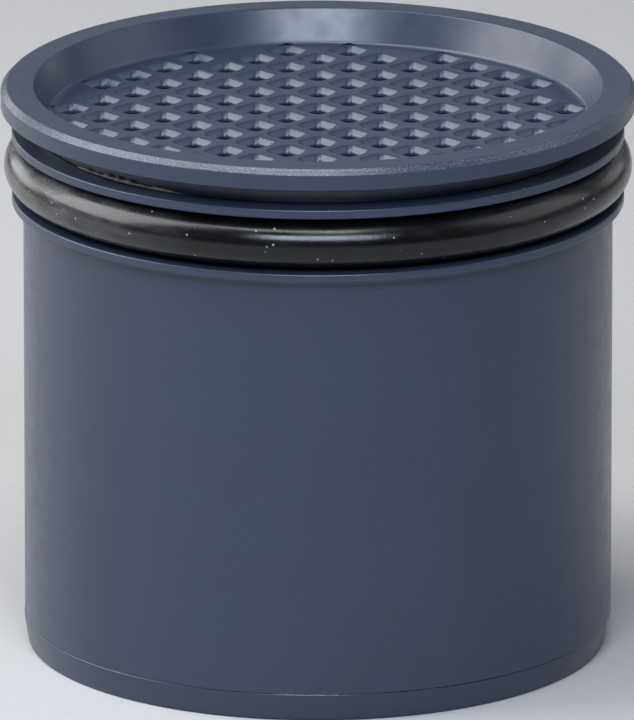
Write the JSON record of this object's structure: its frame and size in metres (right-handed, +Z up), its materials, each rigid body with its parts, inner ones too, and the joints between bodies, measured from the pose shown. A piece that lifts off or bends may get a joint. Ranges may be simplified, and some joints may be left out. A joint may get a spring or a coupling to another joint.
{
  "type": "magnetic system filter",
  "caption": "Drop-in magnetic filter cartridge in dark grey plastic, with a perforated dished inlet, a thick black seal ring, a strainer basket and a magnet core inside.",
  "frame": {"origin": "centre of the face that the cartridge stands on, on its axis", "axes": "+Z up along the cartridge's axis, towards the perforated inlet; -Y is the front, +X to the right seen from the front"},
  "size_m": [0.106, 0.106, 0.0963],
  "materials": {
    "housing_plastic": "satin moulded plastic, blue-grey anthracite",
    "seal_rubber": "greased black rubber",
    "inner_plastic": "black moulded plastic",
    "mesh_steel": "woven stainless wire",
    "sleeve_steel": "drawn stainless tube",
    "fastener_steel": "bright stainless",
    "washer_brass": "turned brass",
    "pole_steel": "turned mild steel",
    "magnet_nickel": "nickel-plated magnet"
  },
  "bodies": {
    "canister": {"canister_body": "housing_plastic", "main_seal_ring": "seal_rubber", "bottom_cap": "housing_plastic"},
    "basket": {"basket_floor": "inner_plastic", "basket_cage": "inner_plastic", "basket_mesh": "mesh_steel", "basket_top_ring": "inner_plastic", "basket_seal_ring": "seal_rubber"},
    "sleeve": {"magnet_sleeve": "sleeve_steel", "sleeve_collar": "inner_plastic", "sleeve_foot": "seal_rubber"},
    "lid": {"inlet_lid": "housing_plastic", "lid_seal_ring": "seal_rubber", "core_spider": "inner_plastic", "spider_screws": "fastener_steel", "core_seal_ring": "seal_rubber", "tie_rod": "fastener_steel", "upper_rod_nut": "fastener_steel", "lower_rod_nut": "fastener_steel", "upper_washer": "washer_brass", "lower_washer": "washer_brass", "pole_piece_1": "pole_steel", "pole_piece_2": "pole_steel", "pole_piece_3": "pole_steel", "pole_piece_4": "pole_steel", "pole_piece_5": "pole_steel", "ring_magnet_1": "magnet_nickel", "ring_magnet_2": "magnet_nickel", "ring_magnet_3": "magnet_nickel", "ring_magnet_4": "magnet_nickel"}
  },
  "joints": [
    {"name": "basket_lift", "type": "slide", "parent": "canister", "child": "basket", "axis": [0, 0, 1], "range_m": [0, 0.09]},
    {"name": "sleeve_lift", "type": "slide", "parent": "basket", "child": "sleeve", "axis": [0, 0, 1], "range_m": [0, 0.085]},
    {"name": "lid_lift", "type": "slide", "parent": "sleeve", "child": "lid", "axis": [0, 0, 1], "range_m": [0, 0.085]}
  ]
}
